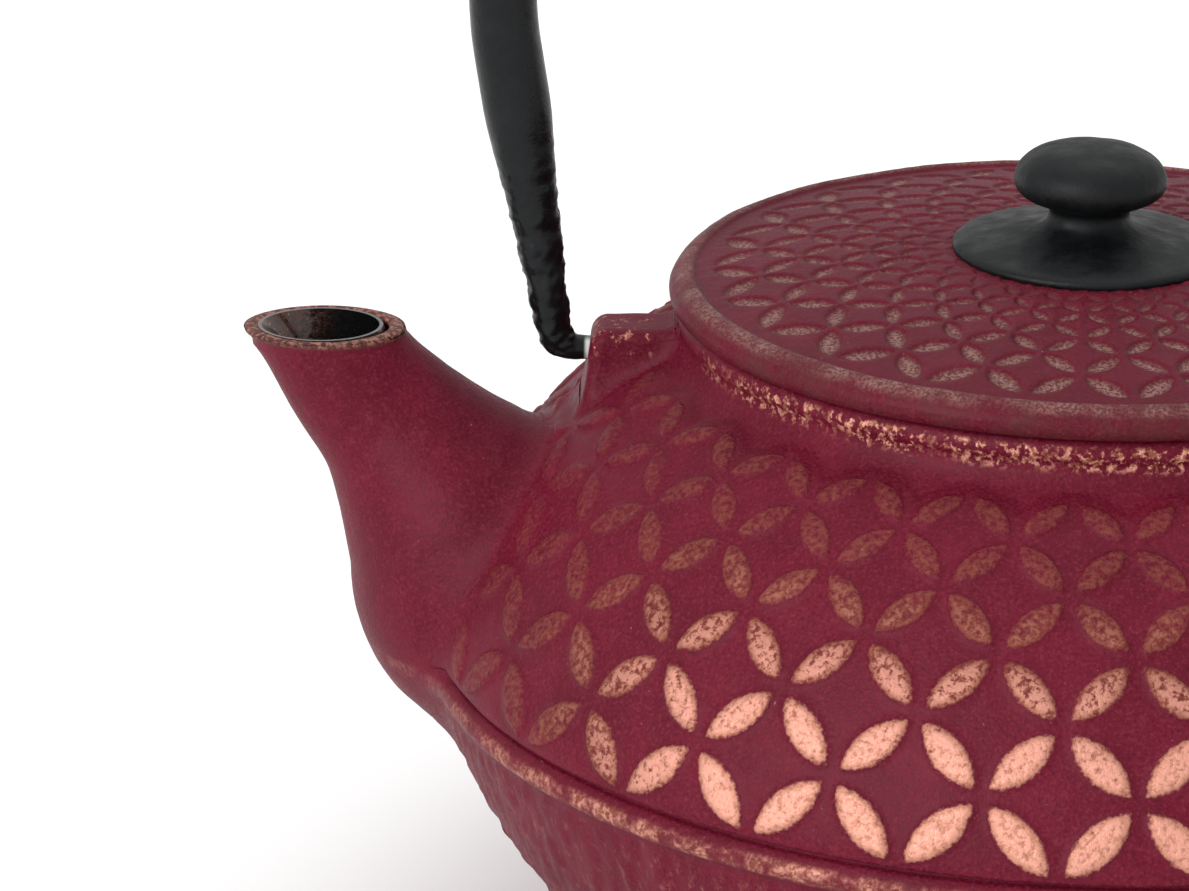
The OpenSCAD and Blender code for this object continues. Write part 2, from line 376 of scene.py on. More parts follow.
def join(parts):
    """Several (points, faces) as one, with the faces renumbered."""
    faces, count = [], 0
    for part_points, part_faces in parts:
        faces += [[k + count for k in face] for face in part_faces]
        count += len(part_points)
    return np.concatenate([part[0] for part in parts]), faces


def compact(points, faces, *values):
    """Leaves out the points that no face uses."""
    used = np.unique(np.asarray(faces))
    place = np.zeros(len(points), int)
    place[used] = np.arange(len(used))
    return (points[used], place[np.asarray(faces)].tolist()) + tuple(v[used] for v in values)


BODY_COLUMNS = 720


def body_part():
    """The turned body with its relief, its rough bowl, and the blends to spout and ears."""
    outline = POT_OUTLINE
    points = turned(outline, BODY_COLUMNS)
    normals = outline_normals(outline, BODY_COLUMNS)
    rows = len(outline)
    r = np.repeat(outline[:, 0], BODY_COLUMNS)
    z = np.repeat(outline[:, 1], BODY_COLUMNS)
    angle = np.tile(np.arange(BODY_COLUMNS) * 2 * math.pi / BODY_COLUMNS, rows)
    angle = np.where(angle > math.pi, angle - 2 * math.pi, angle)
    on_dome = (z > RIDGE_Z + 3) & (z < 80) & (r > NECK_R)

    climb_rows = np.concatenate([[0], np.cumsum(np.hypot(*np.diff(outline, axis=0).T)
                                 / np.maximum(outline[1:, 0], 1))])
    middle_rows = np.flatnonzero(outline[:, 1] > RIDGE_Z + 3)
    start = np.interp(DOME_START_Z, outline[middle_rows, 1], climb_rows[middle_rows])
    climb = np.repeat(climb_rows - start, BODY_COLUMNS)
    across, up = lattice(angle, climb, DOME_CELLS, DOME_TURN)
    unit = r * math.pi / DOME_CELLS * math.sqrt(2)
    petal = np.where(on_dome, petal_edge(across, up, unit, *DOME_ROWS), NOT_PETAL)
    field = np.where(on_dome, field_edge(across, up, unit, DOME_ROWS[1] - 1), NOT_PETAL)

    spout_gap = spout_distance(points)
    ear_gap = ear_distance(points)
    near = (np.abs(spout_gap) < 16) | (ear_gap < 6)
    near &= (z < 81.5) & (z > 16) & (r > 47)
    gone = ((spout_gap < -CUT_SHARE * SPOUT_BLEND) & (z < 81) & (r > 60)) | (
        (ear_gap < -CUT_SHARE * EAR_BLEND) & (z < 81.5))
    touch = near & ~gone & ((spout_gap < SPOUT_BLEND) | (ear_gap < EAR_BLEND))
    settled, slope = settle(points[touch])
    points[touch] = settled
    blend_normals = normals.copy()
    blend_normals[touch] = slope

    clear = smooth(0.2, 2.8, spout_gap) * smooth(0.3, 1.6, ear_gap)
    raise_field = FIELD_RAISE * smooth(-0.45, 0.45, field) * clear
    raise_petal = PETAL_RAISE * smooth(-0.35, 0.55, petal) * clear
    bowl = smooth(RIDGE_Z - 1.0, RIDGE_Z - 2.5, z) * smooth(0.5, 3, z)
    streak = np.stack([angle * r, angle * 0, z * 0.35], 1)
    rough = 0.22 * value_noise(streak, 0.9, 3) + 0.16 * value_noise(streak, 1.7, 4)
    wave = 0.12 * value_noise(points, 9.0, 5) * smooth(0.5, 3, z) * smooth(83, 81, z)
    pits = 0.05 * value_noise(points, 0.8, 6) * smooth(-0.1, 0.4, petal)
    points = points + blend_normals * (raise_field + raise_petal + rough * bowl * clear
                                       + wave + pits)[:, None]
    faces = drop_faces(grid_faces(rows, BODY_COLUMNS), gone)
    return points, faces, petal, smooth(-1, 0, field) * clear


def spout_part():
    """Rings of the spout's tube from its level mouth down into the body."""
    rings, columns = 110, 150
    path = spout_path(rings)
    centre = path[:, :2]
    along = np.gradient(centre, axis=0)
    along /= np.linalg.norm(along, axis=1)[:, None]
    turn = np.arange(columns) * 2 * math.pi / columns
    points = []
    above_mouth = np.flatnonzero(path[:, 1] > MOUTH_Z)
    lean_reach = 14.0
    for i in range(above_mouth[-1] + 1, rings):
        x, z, r, w = path[i]
        tx, tz = along[i]
        down = smooth(lean_reach, 0, MOUTH_Z - z)
        # the ring's plane leans from square across the tube to level at the mouth
        nx, nz = (1 - down) * tx, (1 - down) * tz - down
        size = math.hypot(nx, nz)
        nx, nz = nx / size, nz / size
        side_x, side_z = -tz, tx
        c, s = np.cos(turn), np.sin(turn)
        shift = -(r * c * (side_x * nx + side_z * nz)) / (tx * nx + tz * nz)
        px = x + r * c * side_x + shift * tx
        pz = z + r * c * side_z + shift * tz
        points.append(np.stack([px, w * s, pz], 1))
    return np.array(points), columns


def lip_rings(first_ring):
    """Rings from the spout's outside over its rounded lip and a little way inside."""
    middle = first_ring.mean(0)
    rings = []
    flat = first_ring - middle
    flat[:, 2] = 0
    flat_size = np.linalg.norm(flat, axis=1)[:, None]
    inward = -flat / flat_size
    thick = 1.05 + 1.05 * inward[:, :1] ** 2
    for share, drop in ((0.0, 0.55), (0.06, 0.22), (0.16, 0.05), (0.32, 0.0), (0.6, 0.0),
                        (0.8, 0.08), (0.92, 0.3), (1.0, 0.8), (1.02, 2.2)):
        ring = first_ring + inward * thick * share
        ring[:, 2] = MOUTH_Z - drop
        ring[:, 0] += max(0.0, drop - 0.3) * 0.6
        rings.append(ring)
    return rings


def spout_mesh():
    """The spout's points and faces, its tube settled onto the blended casting."""
    body_rings, columns = spout_part()
    top = body_rings[0].copy()
    top[:, 2] = MOUTH_Z
    rings = lip_rings(top)[::-1]
    lip_count = len(rings)
    tube = body_rings.reshape(-1, 3)
    body_gap = body_distance(tube)
    settled, slope = settle(tube, 4)
    keep_low = (MOUTH_Z - tube[:, 2]) > 1.5
    wave = 0.1 * value_noise(settled, 7.0, 5) + 0.03 * value_noise(settled, 1.3, 8)
    settled = settled + slope * (wave - 0.06 * smooth(5, 3, body_gap))[:, None]
    tube = np.where(keep_low[:, None], settled, tube)
    points = np.concatenate([np.concatenate(rings), tube])
    gone = np.concatenate([np.zeros(lip_count * columns, bool),
                           body_gap < -0.25 * SPOUT_BLEND])
    faces = grid_faces(lip_count + len(body_rings), columns)
    faces = drop_faces(faces, gone)
    return points, [f[::-1] for f in faces]


def ear_mesh(side):
    """One ear as a dense block that is settled onto the blended casting."""
    near_x, far_x, low_z, half_y = 46.5, 62.5, 66.5, 7.5
    outline = line([(near_x, low_z), (far_x, low_z), (60.2, 78), (59.6, 79), (57.6, EAR_TOP),
                    (near_x, EAR_TOP)], 0.45)
    x, z = outline[:, 0], outline[:, 1]
    width = np.linspace(-half_y, half_y, 34)
    sheet = np.array([np.stack([x, np.full(len(x), y), z], 1) for y in width])
    parts = [(sheet.reshape(-1, 3), grid_faces(*sheet.shape[:2], closed=False))]
    columns, rows = 38, 36
    fill_x, fill_z = np.meshgrid(np.linspace(near_x, far_x, columns),
                                 np.linspace(low_z, EAR_TOP, rows))
    for y in (-half_y, half_y):
        fill = np.stack([fill_x.ravel(), np.full(fill_x.size, y), fill_z.ravel()], 1)
        parts.append((fill, grid_faces(rows, columns, closed=False)))
    points, faces = join(parts)
    points[:, 0] *= side
    settled, slope = settle(points, 14)
    gap = body_distance(settled)
    inner = np.hypot(settled[:, 0], settled[:, 1]) < 48
    gone = (gap < -0.05) | inner | (np.linalg.norm(settled - points, axis=1) > 9)
    move = 0.08 * value_noise(settled, 3.0, 9) - 0.05 * smooth(2, 1, gap)
    return settled + slope * move[:, None], drop_faces(faces, gone)


def make_pot(material):
    """The iron casting as one piece: body, spout and both ears."""
    body_points, body_faces, petal, patterned = body_part()
    points, faces = join([(body_points, body_faces), spout_mesh(), ear_mesh(-1), ear_mesh(1)])
    plain = len(points) - len(body_points)
    petal = np.concatenate([petal, np.full(plain, NOT_PETAL)])
    patterned = np.concatenate([patterned, np.zeros(plain)])
    points, faces, petal, patterned = compact(points, faces, petal, patterned)
    points = np.clip(points, np.array(POT_LOW), np.array(POT_HIGH))
    piece = make_piece("pot_casting", points, faces, material, "pot")
    store(piece, "petal", np.maximum(petal, -3))
    store(piece, "relief", patterned)
    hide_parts("pot_body")
    return piece


# ---------------------------------------------------------------- the lid
def lid_outline():
    """From the screw hole over the domed field and the rim to the skirt and back."""
    hole = 2.3
    r = np.linspace(hole, LID_R - 3.4, 96)
    field = np.stack([r, LID_MID_Z - (LID_MID_Z - LID_EDGE_Z) * (r / (LID_R - 3.4)) ** 2], 1)
    inner = bezier(field[-1], (LID_R - 3.1, LID_EDGE_Z), (LID_R - 3.1, LID_RIM_Z - 0.1),
                   (LID_R - 2.4, LID_RIM_Z), 5)
    crown = bezier((LID_R - 2.4, LID_RIM_Z), (LID_R - 1.5, LID_RIM_Z - 0.05),
                   (LID_R - 0.3, LID_RIM_Z - 1.1), (LID_R, LID_RIM_Z - 2.1), 8)
    side = bezier((LID_R, LID_RIM_Z - 2.1), (LID_R, LID_Z + 1.2), (LID_R, LID_Z + 0.5),
                  (LID_R - 0.7, LID_Z), 8)
    under = line([(LID_R - 0.7, LID_Z), (SKIRT_R, LID_Z), (SKIRT_R, SKIRT_Z + 0.6),
                  (SKIRT_R - 0.5, SKIRT_Z), (SKIRT_R - 2.8, SKIRT_Z),
                  (SKIRT_R - 3, LID_Z + 1.4), (hole, LID_Z + 1.4)], 2.2)
    return chain(field, inner, crown, side, under, np.array([(hole, LID_Z + 1.4), field[0]]))


def make_lid(material):
    """The lid casting with its domed field of linked circles."""
    columns = 640
    outline = lid_outline()
    points = turned(outline, columns)
    normals = outline_normals(outline, columns)
    rows = len(outline)
    r = np.repeat(outline[:, 0], columns)
    z = np.repeat(outline[:, 1], columns)
    angle = np.tile(np.arange(columns) * 2 * math.pi / columns, rows)
    angle = np.where(angle > math.pi, angle - 2 * math.pi, angle)
    on_field = (r < LID_R - 3.4) & (z > LID_Z + 2)
    climb = -np.log(np.maximum(r, 1) / LID_START_R)
    across, up = lattice(angle, climb, LID_CELLS, LID_TURN)
    unit = r * math.pi / LID_CELLS * math.sqrt(2)
    petal = np.where(on_field, petal_edge(across, up, unit, -0.1, 9), NOT_PETAL)
    fade = smooth(11, 24, r)
    raised = 0.40 * smooth(-0.25, 0.35, petal) * fade
    wave = 0.08 * value_noise(points, 8.0, 15) * (z > LID_Z + 0.3)
    grain = 0.03 * value_noise(points, 1.0, 16) * (z > LID_Z + 0.3)
    points = points + normals * (raised + wave + grain)[:, None]
    points = np.clip(points, np.array(LID_LOW), np.array(LID_HIGH))
    faces = grid_faces(rows, columns)
    piece = make_piece("lid_casting", points, faces, material, "cover")
    store(piece, "petal", np.maximum(petal, -3))
    store(piece, "relief", fade * on_field)
    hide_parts("lid")
    return piece


def make_knob(material):
    """The knob: a thin cast seat plate, a neck and a round button in one."""
    columns = 160
    base, cap = LID_MID_Z, KNOB_HIGH[2]
    edge = base - 0.75
    outline = chain(
        line([(0.05, base), (6.4, base - 0.1), (KNOB_R - 0.6, edge)], 1.0),
        bezier((KNOB_R - 0.6, edge), (KNOB_R - 0.1, edge + 0.05), (KNOB_R, edge + 0.3),
               (KNOB_R - 0.05, edge + 0.75), 5),
        bezier((KNOB_R - 0.05, edge + 0.75), (KNOB_R - 0.3, edge + 1.5), (KNOB_R - 2, edge + 1.6),
               (KNOB_R - 5, edge + 2.2), 9),
        bezier((KNOB_R - 5, edge + 2.2), (6.2, base + 2.2), (KNOB_NECK_R, base + 2.8),
               (KNOB_NECK_R, base + 4.4), 10),
        bezier((KNOB_NECK_R, base + 4.4), (KNOB_NECK_R, base + 5.8), (BUTTON_R, base + 5.6),
               (BUTTON_R, base + 8.2), 12),
        bezier((BUTTON_R, base + 8.2), (BUTTON_R, cap - 1.6), (BUTTON_R * 0.6, cap),
               (0.05, cap), 18))
    points = turned(outline, columns)
    normals = outline_normals(outline, columns)
    points = points + normals * (0.05 * value_noise(points, 1.6, 21)
                                 + 0.08 * value_noise(points, 5.0, 22))[:, None]
    points = np.clip(points, np.array(KNOB_LOW) - np.array([0, 0, 0.8]), np.array(KNOB_HIGH))
    faces = grid_faces(len(outline), columns)
    piece = make_piece("knob_cap", points, faces, material, "cover")
    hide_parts("knob")
    return piece


# ---------------------------------------------------------------- the handle
def handle_path():
    """Centre line of the +X half, from the tip of its hook to the top of the arch."""
    arm_x, arm_z, corner_r, corner_a = 69.9, 115.0, 42.0, math.radians(38)
    foot_x, foot_z = 64.26, 79.9
    lean = math.atan2(arm_x - foot_x, arm_z - foot_z)
    corner = (arm_x - corner_r * math.cos(lean), arm_z + corner_r * math.sin(lean))
    gap = corner[0] / math.sin(corner_a)
    top_r, top_z = corner_r + gap, corner[1] - gap * math.cos(corner_a)

    def arc(x, z, r, start, end, steps):
        a = np.linspace(start, end, steps)
        return np.stack([x + r * np.cos(a), z + r * np.sin(a)], 1)

    tip = np.array([(54.7, PIVOT_Z)])
    hook = arc(61.3, PIVOT_Z + 3, 3, -math.pi / 2, -lean, 16)
    arm = np.array([(arm_x, arm_z)])
    bow = arc(*corner, corner_r, -lean, math.pi / 2 - corner_a, 60)
    top = arc(0, top_z, top_r, math.pi / 2 - corner_a, math.pi / 2, 60)
    return line(np.concatenate([tip, hook, arm, bow[1:], top[1:]]), 0.55)


def make_handle(material):
    """The bail: a tube rolled from sheet, drawn down to a crumpled hook at each end."""
    half = handle_path()
    path = np.concatenate([half, half[::-1][1:] * (-1, 1)])
    columns = 72
    along = np.gradient(path, axis=0)
    along /= np.linalg.norm(along, axis=1)[:, None]
    run = np.concatenate([[0], np.cumsum(np.linalg.norm(np.diff(path, axis=0), axis=1))])
    run = np.minimum(run, run[-1] - run)
    z = path[:, 1]
    in_bend = run < 11.5
    taper = np.interp(z, [79, 81.4, 86, 93, 99.5, 106, 108],
                      [1.9, 2.15, 2.4, 2.85, 3.45, 4.0, TUBE_R])
    draw = np.interp(run, [0, 0.5, 5.2, 6.6, 8.6, 11.5], [1.0, HOOK_R, HOOK_R, 1.55, 1.9, 2.1])
    radius = np.where(in_bend & (z < 82), draw, taper)
    for _ in range(3):
        radius[1:-1] = (radius[:-2] + 2 * radius[1:-1] + radius[2:]) / 4
    turn = np.arange(columns) * 2 * math.pi / columns
    c, s = np.cos(turn), np.sin(turn)
    out = np.stack([along[:, 1], -along[:, 0]], 1)
    spread_x = out[:, :1] * c
    spread_z = out[:, 1:] * c
    ring = np.stack([spread_x, np.broadcast_to(s, spread_x.shape), spread_z], -1)
    centre = np.stack([path[:, 0], np.zeros(len(path)), path[:, 1]], 1)[:, None, :]
    surface = centre + ring * radius[:, None, None]
    flat = surface.reshape(-1, 3)
    far = np.repeat(run, columns)
    crumple = smooth(6.2, 8.5, far) * smooth(42, 16, far)
    folds = (value_noise(flat * (1, 1, 2.6), 2.6, 31) * 0.26
             + value_noise(flat * (1, 1, 2.2), 0.9, 32) * 0.19)
    hammer = 0.05 * value_noise(flat, 7.0, 33) * smooth(20, 40, far)
    seam_turn = math.pi
    seam = np.exp(-((np.tile(turn, len(path)) - seam_turn) / 0.07) ** 2) * smooth(14, 24, far)
    move = folds * crumple + hammer - 0.28 * seam
    flat = flat + ring.reshape(-1, 3) * move[:, None]
    flat = np.clip(flat, np.array(HANDLE_LOW), np.array(HANDLE_HIGH))
    faces = grid_faces(len(path), columns)
    last = (len(path) - 1) * columns
    faces.append(list(range(columns))[::-1])
    faces.append(list(range(last, last + columns)))
    piece = make_piece("bail_handle", flat, faces, material, "bail")
    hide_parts("handle")
    return piece


# ---------------------------------------------------------------- materials
class Nodes:
    """Builds one material's node tree with short calls."""

    def __init__(self, name):
        self.material = bpy.data.materials.new(name)
        self.material.use_nodes = True
        self.tree = self.material.node_tree
        self.shader = self.tree.nodes["Principled BSDF"]
        self.place = self.add("ShaderNodeTexCoord").outputs["Object"]

    def add(self, kind, **settings):
        node = self.tree.nodes.new(kind)
        for key, value in settings.items():
            setattr(node, key, value)
        return node

    def feed(self, socket, value):
        if isinstance(value, bpy.types.NodeSocket):
            self.tree.links.new(value, socket)
        elif isinstance(value, tuple) and len(value) == 3 and socket.type == "RGBA":
            socket.default_value = value + (1.0,)
        else:
            socket.default_value = value

    def math(self, kind, a, b=0.0):
        node = self.add("ShaderNodeMath", operation=kind)
        self.feed(node.inputs[0], a)
        self.feed(node.inputs[1], b)
        return node.outputs[0]

    def ramp(self, value, low, high, out_low=0.0, out_high=1.0):
        node = self.add("ShaderNodeMapRange", interpolation_type="SMOOTHSTEP")
        for socket, v in zip(node.inputs, (value, low, high, out_low, out_high)):
            self.feed(socket, v)
        return node.outputs[0]

    def noise(self, size, detail=3.0, rough=0.55, stretch=(1, 1, 1)):
        """Noise whose features are about size millimetres across."""
        mapping = self.add("ShaderNodeMapping")
        self.feed(mapping.inputs["Vector"], self.place)
        mapping.inputs["Scale"].default_value = [s / (size * MM) for s in stretch]
        node = self.add("ShaderNodeTexNoise")
        self.feed(node.inputs["Vector"], mapping.outputs[0])
        node.inputs["Scale"].default_value = 1.0
        node.inputs["Detail"].default_value = detail
        node.inputs["Roughness"].default_value = rough
        return node.outputs[0]

    def mix(self, share, a, b):
        node = self.add("ShaderNodeMix", data_type="RGBA")
        self.feed(node.inputs["Factor"], share)
        self.feed(node.inputs[6], a)
        self.feed(node.inputs[7], b)
        return node.outputs[2]

    def stored(self, name):
        return self.add("ShaderNodeAttribute", attribute_name=name).outputs["Fac"]

    def axis(self, name):
        split = self.add("ShaderNodeSeparateXYZ")
        self.feed(split.inputs[0], self.place)
        return split.outputs[name]

    def bump(self, *layers):
        """Bump from (height, millimetres) pairs, one after the other."""
        normal = None
        for height, depth in layers:
            node = self.add("ShaderNodeBump")
            self.feed(node.inputs["Height"], height)
            node.inputs["Distance"].default_value = depth * MM
            if normal is not None:
                self.feed(node.inputs["Normal"], normal)
            normal = node.outputs[0]
        self.feed(self.shader.inputs["Normal"], normal)

    def surface(self, **values):
        for key, value in values.items():
            self.feed(self.shader.inputs[key.replace("_", " ")], value)


WINE_DARK = (0.064, 0.0015, 0.0080)
WINE = (0.126, 0.0048, 0.0185)
WINE_DUSTY = (0.200, 0.026, 0.044)
LID_WINE = (0.112, 0.0042, 0.0165)
COPPER = (0.700, 0.320, 0.240)
COPPER_DULL = (0.245, 0.082, 0.042)
DUST = (0.270, 0.155, 0.138)
ASH = (0.340, 0.190, 0.165)
SOOT = (0.130, 0.050, 0.042)
WORN_IRON = (0.070, 0.030, 0.024)

# Stretch of the brushing on steel: round the axis, across a flat face, up a wall
ROUND_BRUSH = (1, 1, 0.08)
FLAT_BRUSH = (0.15, 1, 1)
WALL_BRUSH = (1, 1, 0.2)


def painted_iron(name, strength, wine, petal_colour, dull_colour, raggedness, pit_size):
    """Wine-red painted iron; strength(nodes) gives how much copper the brush left."""
    nodes = Nodes(name)
    grain = nodes.noise(0.42, 2.0, 0.6)
    cloud = nodes.noise(9.0, 3.0, 0.5)
    patch = nodes.noise(2.2, 3.0, 0.6)
    fleck = nodes.noise(0.55, 1.0, 0.5)
    base = nodes.mix(nodes.ramp(cloud, 0.30, 0.70, 0.0, 0.40), wine, WINE_DARK)
    base = nodes.mix(nodes.ramp(patch, 0.52, 0.75, 0.0, 0.20), base, WINE_DUSTY)
    base = nodes.mix(nodes.ramp(grain, 0.50, 0.72, 0.0, 0.42), base, WINE_DUSTY)
    base = nodes.mix(nodes.ramp(grain, 0.47, 0.30, 0.0, 0.65), base, WINE_DARK)
    base = nodes.mix(nodes.ramp(fleck, 0.78, 0.84, 0.0, 0.7), base, DUST)
    pit = nodes.noise(pit_size, 3.0, 0.65)
    ragged = nodes.math("SUBTRACT", nodes.noise(0.6, 2.0, 0.6), 0.5)
    ragged = nodes.math("MULTIPLY", ragged, raggedness)
    petal = nodes.math("ADD", nodes.stored("petal"), ragged)
    amount, bare, worn = strength(nodes, pit)
    inside = nodes.ramp(petal, -0.05, 0.40)
    brushed = nodes.math("MULTIPLY", inside, amount)
    heart = nodes.math("MULTIPLY", nodes.ramp(petal, 0.15, 1.10), nodes.ramp(amount, 0.38, 0.92))
    shade = nodes.mix(heart, dull_colour, petal_colour)
    shade = nodes.mix(nodes.ramp(amount, 0.60, 1.00, 0.0, 0.50), shade, petal_colour)
    shade = nodes.mix(nodes.ramp(pit, 0.36, 0.54, 0.55, 0.0), shade, dull_colour)
    colour = nodes.mix(brushed, base, shade)
    colour = nodes.mix(worn, colour, WORN_IRON)
    rubbed = nodes.mix(nodes.ramp(pit, 0.40, 0.60), dull_colour, petal_colour)
    colour = nodes.mix(bare, colour, rubbed)
    metal = nodes.math("MULTIPLY", nodes.math("MAXIMUM", brushed, bare), 0.30)
    rough = nodes.ramp(grain, 0.3, 0.7, 0.42, 0.60)
    nodes.surface(Base_Color=colour, Metallic=metal, Roughness=rough)
    nodes.shader.inputs["Specular IOR Level"].default_value = 0.13
    rugged = nodes.math("MULTIPLY", nodes.ramp(petal, -0.2, 0.3), pit)
    nodes.bump((nodes.noise(3.0, 3.0, 0.6), 0.14), (grain, 0.075), (rugged, 0.18))
    return nodes.material


def pot_strength(nodes, pit):
    """Copper on the petals: strong towards the waist and away from spout and ears."""
    height = nodes.axis("Z")
    low = nodes.ramp(height, 0.0750, 0.0490, 0.38, 1.0)
    sideways = nodes.math("ABSOLUTE", nodes.axis("X"))
    side = nodes.ramp(sideways, 0.073, 0.042, 0.34, 1.0)
    amount = nodes.math("MULTIPLY", low, side)
    speckle = nodes.ramp(nodes.math("ADD", pit, nodes.math("MULTIPLY", amount, 0.45)), 0.52, 0.84)
    amount = nodes.math("MULTIPLY", speckle, nodes.math("ADD", amount, 0.05))
    amount = nodes.math("MULTIPLY", amount, nodes.stored("relief"))
    ridge_low, ridge_high = RIDGE_Z * MM - 0.0008, RIDGE_Z * MM + 0.0012
    ridge = nodes.math("MULTIPLY", nodes.ramp(height, ridge_low - 0.0004, ridge_low + 0.0004),
                       nodes.ramp(height, ridge_high + 0.0004, ridge_high - 0.0004))
    ridge = nodes.math("MULTIPLY", ridge,
                       nodes.ramp(nodes.noise(4.0, 4.0, 0.7), 0.38, 0.66, 0.05, 0.75))
    ridge = nodes.math("MULTIPLY", ridge, nodes.ramp(sideways, 0.079, 0.062, 0.25, 1.0))
    neck = nodes.math("MULTIPLY", nodes.ramp(height, 0.0790, 0.0804),
                      nodes.ramp(height, 0.0828, 0.0822))
    neck = nodes.math("MULTIPLY", neck, nodes.ramp(nodes.noise(0.9, 2.0, 0.6), 0.47, 0.60))
    neck = nodes.math("MULTIPLY", neck,
                      nodes.ramp(nodes.noise(9.0, 2.0, 0.5), 0.36, 0.52, 0.25, 1.0))
    near_axis = nodes.ramp(sideways, 0.0475, 0.0440)
    neck = nodes.math("MULTIPLY", neck, near_axis)
    lip = nodes.math("MULTIPLY", nodes.ramp(height, MOUTH_Z * MM - 0.0009, MOUTH_Z * MM - 0.0002),
                     nodes.ramp(sideways, 0.0800, 0.0810))
    lip = nodes.math("MULTIPLY", lip, nodes.ramp(pit, 0.40, 0.62, 0.0, 0.40))
    streaks = nodes.noise(1.1, 3.0, 0.7, stretch=(1, 1, 0.35))
    bowl = nodes.math("MULTIPLY", nodes.ramp(height, RIDGE_Z * MM - 0.0010, RIDGE_Z * MM - 0.0035),
                      nodes.ramp(streaks, 0.52, 0.72, 0.0, 0.17))
    bare = nodes.math("MAXIMUM", nodes.math("MAXIMUM", ridge, neck),
                      nodes.math("MAXIMUM", lip, bowl))
    ear = nodes.math("MULTIPLY", nodes.ramp(height, 0.0772, 0.0792),
                     nodes.ramp(sideways, 0.0515, 0.0530))
    ear = nodes.math("MULTIPLY", ear, nodes.ramp(sideways, 0.0640, 0.0620))
    ear = nodes.math("MULTIPLY", ear, nodes.ramp(nodes.noise(1.3, 3.0, 0.7), 0.56, 0.66, 0.0, 0.7))
    bare = nodes.math("MAXIMUM", bare, ear)
    worn = nodes.math("MULTIPLY", nodes.ramp(height, MOUTH_Z * MM - 0.0012, MOUTH_Z * MM - 0.0003),
                      nodes.ramp(sideways, 0.0800, 0.0810, 0.0, 0.85))
    return amount, bare, worn


def lid_strength(nodes, pit):
    """A dull dry brush on the lid's petals and along its rim."""
    amount = nodes.math("MULTIPLY", nodes.ramp(pit, 0.36, 0.58, 0.35, 0.85), nodes.stored("relief"))
    height = nodes.axis("Z")
    crown = nodes.math("MULTIPLY",
                       nodes.ramp(height, (LID_RIM_Z - 1.4) * MM, (LID_RIM_Z - 0.3) * MM),
                       nodes.ramp(height, (LID_RIM_Z + 0.4) * MM, (LID_RIM_Z + 0.05) * MM))
    x, y = nodes.axis("X"), nodes.axis("Y")
    far = nodes.math("SQRT", nodes.math("ADD", nodes.math("MULTIPLY", x, x),
                                        nodes.math("MULTIPLY", y, y)))
    rim = nodes.math("MULTIPLY", nodes.ramp(far, (LID_R - 3.2) * MM, (LID_R - 2.6) * MM), crown)
    rim = nodes.math("MULTIPLY", rim,
                     nodes.ramp(nodes.noise(5.0, 4.0, 0.7), 0.38, 0.66, 0.10, 0.62))
    flank = nodes.math("MULTIPLY", nodes.ramp(far, (LID_R - 3.3) * MM, (LID_R - 2.6) * MM),
                       nodes.ramp(nodes.noise(7.0, 4.0, 0.7), 0.36, 0.62, 0.0, 0.40))
    return amount, rim, flank


def black_lacquer(name, rough_low, rough_high, bare_steel_glint_below):
    """Satin black lacquer with fine dust.

    Low down and nearer the axis than the distance given last, in mm, it is painted pale grey:
    partly rubbed bare steel, partly a painted highlight at the hook's end."""
    nodes = Nodes(name)
    cloud = nodes.noise(3.5, 4.0, 0.6)
    grain = nodes.noise(0.35, 2.0, 0.6)
    colour = nodes.mix(nodes.ramp(cloud, 0.4, 0.7), (0.0022, 0.0030, 0.0035),
                       (0.005, 0.006, 0.007))
    colour = nodes.mix(nodes.ramp(grain, 0.66, 0.80, 0.0, 0.35), colour, (0.045, 0.05, 0.052))
    sideways = nodes.math("ABSOLUTE", nodes.axis("X"))
    # pale grey patch at the hook's end: partly rubbed bare steel, partly a painted highlight where
    # the hook enters the ear
    rubbed = nodes.math("MULTIPLY", nodes.ramp(sideways, bare_steel_glint_below * MM, (bare_steel_glint_below - 0.5) * MM),
                        nodes.ramp(nodes.axis("Z"), 0.0790, 0.0784))
    colour = nodes.mix(rubbed, colour, (0.62, 0.62, 0.62))
    nodes.surface(Base_Color=colour, Roughness=nodes.ramp(cloud, 0.3, 0.7, rough_low, rough_high))
    nodes.shader.inputs["Specular IOR Level"].default_value = 0.24
    nodes.bump((nodes.noise(1.6, 3.0, 0.6), 0.09), (grain, 0.03))
    return nodes.material


def black_enamel(name):
    """Glossy black enamel; near the spout's lip it is rubbed through to copper specks."""
    nodes = Nodes(name)
    speck = nodes.noise(0.55, 2.0, 0.7)
    height = nodes.axis("Z")
    lip = nodes.math("MULTIPLY", nodes.ramp(height, (MOUTH_Z - 9) * MM, (MOUTH_Z - 1) * MM),
                     nodes.ramp(nodes.axis("X"), -0.090, -0.097))
    rubbed = nodes.math("MULTIPLY", lip, nodes.ramp(speck, 0.42, 0.56, 0.2, 0.9))
    colour = nodes.mix(rubbed, (0.005, 0.005, 0.0055), (0.110, 0.036, 0.018))
    glint = nodes.math("MULTIPLY", lip, nodes.ramp(speck, 0.66, 0.72, 0.0, 0.8))
    colour = nodes.mix(glint, colour, (0.55, 0.50, 0.46))
    nodes.surface(Base_Color=colour, Roughness=nodes.ramp(speck, 0.3, 0.7, 0.10, 0.28),
                  Metallic=nodes.math("MULTIPLY", rubbed, 0.5))
    nodes.shader.inputs["Coat Weight"].default_value = 0.6
    nodes.bump((nodes.noise(1.4, 3.0, 0.6), 0.12), (speck, 0.05))
    return nodes.material


